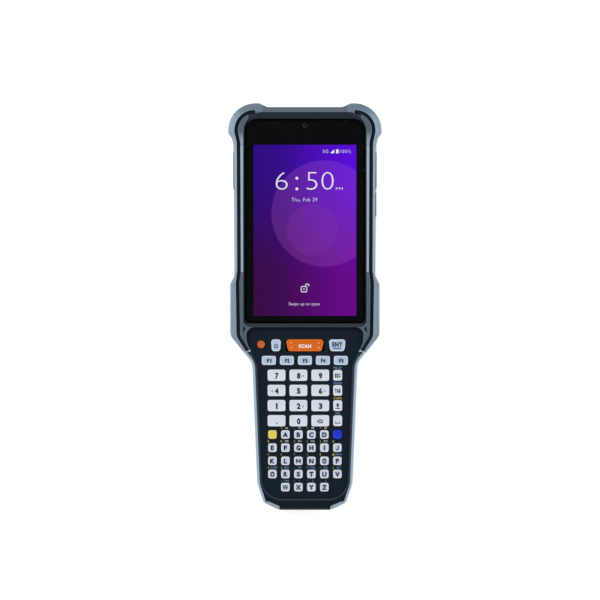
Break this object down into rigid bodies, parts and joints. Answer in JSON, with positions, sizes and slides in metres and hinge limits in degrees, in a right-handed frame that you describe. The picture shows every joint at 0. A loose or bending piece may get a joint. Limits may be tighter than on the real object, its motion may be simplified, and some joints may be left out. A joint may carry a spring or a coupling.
{
  "type": "portable barcode data terminal",
  "caption": "Rugged handheld barcode terminal: touch display in a bumper frame above an alphanumeric keypad handle with a latched battery.",
  "frame": {"origin": "on the resting plane of the back, under the middle of the overall box", "axes": "+Z out of the display, +Y towards the scanning end, +X to the right of someone looking at the display"},
  "size_m": [0.0844, 0.2235, 0.038],
  "materials": {
    "housing_dark": "matt textured",
    "bezel_dark": "matt textured",
    "bumper_grey": "matt, soft-touch",
    "inlay_dark": "matt rubber",
    "silicone": "matt rubber",
    "display_glass": "clear, dark border",
    "display_panel": "lit picture",
    "chassis_metal": "die-cast, satin",
    "circuit_board": "solder mask",
    "scan_glass": "tinted, glossy",
    "engine_metal": "anodised black",
    "camera_black": "satin black",
    "screw_steel": "satin",
    "contact_gold": "gold plated",
    "scan_key_orange": "satin",
    "power_key_orange": "satin",
    "side_key_grey": "satin",
    "battery_dark": "matt textured",
    "latch_grey": "satin",
    "key_yellow": "satin",
    "key_blue": "satin",
    "key_pale_blue": "satin",
    "key_white": "satin",
    "key_letter": "satin"
  },
  "bodies": {
    "terminal_body": {"front_housing": "housing_dark", "rear_housing": "housing_dark", "top_bumper": "bumper_grey", "side_rails": "bumper_grey", "shoulder_bumpers": "bumper_grey", "handle_trims": "bumper_grey", "groove_inlays": "inlay_dark", "display_bezel": "bezel_dark", "display_window": "display_glass", "lcd_module": "display_panel", "chassis_frame": "chassis_metal", "main_board": "circuit_board", "keypad_board": "circuit_board", "key_mat": "silicone", "scan_window": "scan_glass", "scan_engine": "engine_metal", "camera_modules": "camera_black", "camera_window": "scan_glass", "loudspeaker": "camera_black", "contact_blades": "contact_gold", "strap_bar": "screw_steel"},
    "side_scan_key_left_body": {"side_scan_key_left": "side_key_grey"},
    "side_scan_key_right_body": {"side_scan_key_right": "side_key_grey"},
    "volume_rocker_body": {"volume_rocker": "side_key_grey"},
    "battery_pack_body": {"battery_pack": "battery_dark"},
    "battery_latch_body": {"battery_latch": "latch_grey"},
    "power_key_body": {"power_key": "power_key_orange"},
    "home_key_body": {"home_key": "key_pale_blue"},
    "scan_key_body": {"scan_key": "scan_key_orange"},
    "enter_key_body": {"enter_key": "key_pale_blue"},
    "function_key_1_body": {"function_key_1": "key_pale_blue"},
    "function_key_2_body": {"function_key_2": "key_pale_blue"},
    "function_key_3_body": {"function_key_3": "key_pale_blue"},
    "function_key_4_body": {"function_key_4": "key_pale_blue"},
    "function_key_5_body": {"function_key_5": "key_pale_blue"},
    "key_1_body": {"key_1": "key_white"},
    "key_2_body": {"key_2": "key_white"},
    "key_3_body": {"key_3": "key_white"},
    "key_4_body": {"key_4": "key_white"},
    "key_5_body": {"key_5": "key_white"},
    "key_6_body": {"key_6": "key_white"},
    "key_7_body": {"key_7": "key_white"},
    "key_8_body": {"key_8": "key_white"},
    "key_9_body": {"key_9": "key_white"},
    "point_key_body": {"point_key": "key_white"},
    "key_0_body": {"key_0": "key_white"},
    "backspace_key_body": {"backspace_key": "key_white"},
    "escape_key_body": {"escape_key": "key_white"},
    "tab_key_body": {"tab_key": "key_white"},
    "shift_key_body": {"shift_key": "key_white"},
    "space_key_body": {"space_key": "key_white"},
    "yellow_key_body": {"yellow_key": "key_yellow"},
    "blue_key_body": {"blue_key": "key_blue"},
    "letter_keys_a_to_d_body": {"letter_keys_a_to_d": "key_letter"},
    "letter_keys_e_to_j_body": {"letter_keys_e_to_j": "key_letter"},
    "letter_keys_k_to_p_body": {"letter_keys_k_to_p": "key_letter"},
    "letter_keys_q_to_z_body": {"letter_keys_q_to_z": "key_letter"}
  },
  "joints": [
    {"name": "battery_latch_slide", "type": "slide", "parent": "terminal_body", "child": "battery_latch_body", "axis": [0, -1, 0], "range_m": [0, 0.003]},
    {"name": "battery_removal", "type": "slide", "parent": "terminal_body", "child": "battery_pack_body", "axis": [0, 0, -1], "range_m": [0, 0.022]},
    {"name": "side_scan_key_left_press", "type": "slide", "parent": "terminal_body", "child": "side_scan_key_left_body", "axis": [1, 0, 0], "range_m": [0, 0.0006], "stiffness_N_per_m": 1500},
    {"name": "side_scan_key_right_press", "type": "slide", "parent": "terminal_body", "child": "side_scan_key_right_body", "axis": [-1, 0, 0], "range_m": [0, 0.0006], "stiffness_N_per_m": 1500},
    {"name": "volume_rocker_tilt", "type": "hinge", "parent": "terminal_body", "child": "volume_rocker_body", "pos_m": [0.03623, 0.056, 0.0292], "axis": [0, 0, 1], "range_deg": [-1.5, 1.5], "stiffness_Nm_per_rad": 0.5},
    {"name": "scan_key_press", "type": "slide", "parent": "terminal_body", "child": "scan_key_body", "axis": [0, 0, -1], "range_m": [0, 0.0006], "stiffness_N_per_m": 1500},
    {"name": "power_key_press", "type": "slide", "parent": "terminal_body", "child": "power_key_body", "axis": [0, 0, -1], "range_m": [0, 0.0006], "stiffness_N_per_m": 1500},
    {"name": "home_key_press", "type": "slide", "parent": "terminal_body", "child": "home_key_body", "axis": [0, 0, -1], "range_m": [0, 0.0006], "stiffness_N_per_m": 1500},
    {"name": "enter_key_press", "type": "slide", "parent": "terminal_body", "child": "enter_key_body", "axis": [0, 0, -1], "range_m": [0, 0.0006], "stiffness_N_per_m": 1500},
    {"name": "function_key_1_press", "type": "slide", "parent": "terminal_body", "child": "function_key_1_body", "axis": [0, 0, -1], "range_m": [0, 0.0006], "stiffness_N_per_m": 1500},
    {"name": "function_key_2_press", "type": "slide", "parent": "terminal_body", "child": "function_key_2_body", "axis": [0, 0, -1], "range_m": [0, 0.0006], "stiffness_N_per_m": 1500},
    {"name": "function_key_3_press", "type": "slide", "parent": "terminal_body", "child": "function_key_3_body", "axis": [0, 0, -1], "range_m": [0, 0.0006], "stiffness_N_per_m": 1500},
    {"name": "function_key_4_press", "type": "slide", "parent": "terminal_body", "child": "function_key_4_body", "axis": [0, 0, -1], "range_m": [0, 0.0006], "stiffness_N_per_m": 1500},
    {"name": "function_key_5_press", "type": "slide", "parent": "terminal_body", "child": "function_key_5_body", "axis": [0, 0, -1], "range_m": [0, 0.0006], "stiffness_N_per_m": 1500},
    {"name": "key_1_press", "type": "slide", "parent": "terminal_body", "child": "key_1_body", "axis": [0, 0, -1], "range_m": [0, 0.0006], "stiffness_N_per_m": 1500},
    {"name": "key_2_press", "type": "slide", "parent": "terminal_body", "child": "key_2_body", "axis": [0, 0, -1], "range_m": [0, 0.0006], "stiffness_N_per_m": 1500},
    {"name": "key_3_press", "type": "slide", "parent": "terminal_body", "child": "key_3_body", "axis": [0, 0, -1], "range_m": [0, 0.0006], "stiffness_N_per_m": 1500},
    {"name": "key_4_press", "type": "slide", "parent": "terminal_body", "child": "key_4_body", "axis": [0, 0, -1], "range_m": [0, 0.0006], "stiffness_N_per_m": 1500},
    {"name": "key_5_press", "type": "slide", "parent": "terminal_body", "child": "key_5_body", "axis": [0, 0, -1], "range_m": [0, 0.0006], "stiffness_N_per_m": 1500},
    {"name": "key_6_press", "type": "slide", "parent": "terminal_body", "child": "key_6_body", "axis": [0, 0, -1], "range_m": [0, 0.0006], "stiffness_N_per_m": 1500},
    {"name": "key_7_press", "type": "slide", "parent": "terminal_body", "child": "key_7_body", "axis": [0, 0, -1], "range_m": [0, 0.0006], "stiffness_N_per_m": 1500},
    {"name": "key_8_press", "type": "slide", "parent": "terminal_body", "child": "key_8_body", "axis": [0, 0, -1], "range_m": [0, 0.0006], "stiffness_N_per_m": 1500},
    {"name": "key_9_press", "type": "slide", "parent": "terminal_body", "child": "key_9_body", "axis": [0, 0, -1], "range_m": [0, 0.0006], "stiffness_N_per_m": 1500},
    {"name": "point_key_press", "type": "slide", "parent": "terminal_body", "child": "point_key_body", "axis": [0, 0, -1], "range_m": [0, 0.0006], "stiffness_N_per_m": 1500},
    {"name": "key_0_press", "type": "slide", "parent": "terminal_body", "child": "key_0_body", "axis": [0, 0, -1], "range_m": [0, 0.0006], "stiffness_N_per_m": 1500},
    {"name": "backspace_key_press", "type": "slide", "parent": "terminal_body", "child": "backspace_key_body", "axis": [0, 0, -1], "range_m": [0, 0.0006], "stiffness_N_per_m": 1500},
    {"name": "escape_key_press", "type": "slide", "parent": "terminal_body", "child": "escape_key_body", "axis": [0, 0, -1], "range_m": [0, 0.0006], "stiffness_N_per_m": 1500},
    {"name": "tab_key_press", "type": "slide", "parent": "terminal_body", "child": "tab_key_body", "axis": [0, 0, -1], "range_m": [0, 0.0006], "stiffness_N_per_m": 1500},
    {"name": "shift_key_press", "type": "slide", "parent": "terminal_body", "child": "shift_key_body", "axis": [0, 0, -1], "range_m": [0, 0.0006], "stiffness_N_per_m": 1500},
    {"name": "space_key_press", "type": "slide", "parent": "terminal_body", "child": "space_key_body", "axis": [0, 0, -1], "range_m": [0, 0.0006], "stiffness_N_per_m": 1500},
    {"name": "yellow_key_press", "type": "slide", "parent": "terminal_body", "child": "yellow_key_body", "axis": [0, 0, -1], "range_m": [0, 0.0006], "stiffness_N_per_m": 1500},
    {"name": "blue_key_press", "type": "slide", "parent": "terminal_body", "child": "blue_key_body", "axis": [0, 0, -1], "range_m": [0, 0.0006], "stiffness_N_per_m": 1500},
    {"name": "letter_keys_a_to_d_press", "type": "slide", "parent": "terminal_body", "child": "letter_keys_a_to_d_body", "axis": [0, 0, -1], "range_m": [0, 0.0006], "stiffness_N_per_m": 1500},
    {"name": "letter_keys_e_to_j_press", "type": "slide", "parent": "terminal_body", "child": "letter_keys_e_to_j_body", "axis": [0, 0, -1], "range_m": [0, 0.0006], "stiffness_N_per_m": 1500},
    {"name": "letter_keys_k_to_p_press", "type": "slide", "parent": "terminal_body", "child": "letter_keys_k_to_p_body", "axis": [0, 0, -1], "range_m": [0, 0.0006], "stiffness_N_per_m": 1500},
    {"name": "letter_keys_q_to_z_press", "type": "slide", "parent": "terminal_body", "child": "letter_keys_q_to_z_body", "axis": [0, 0, -1], "range_m": [0, 0.0006], "stiffness_N_per_m": 1500}
  ]
}
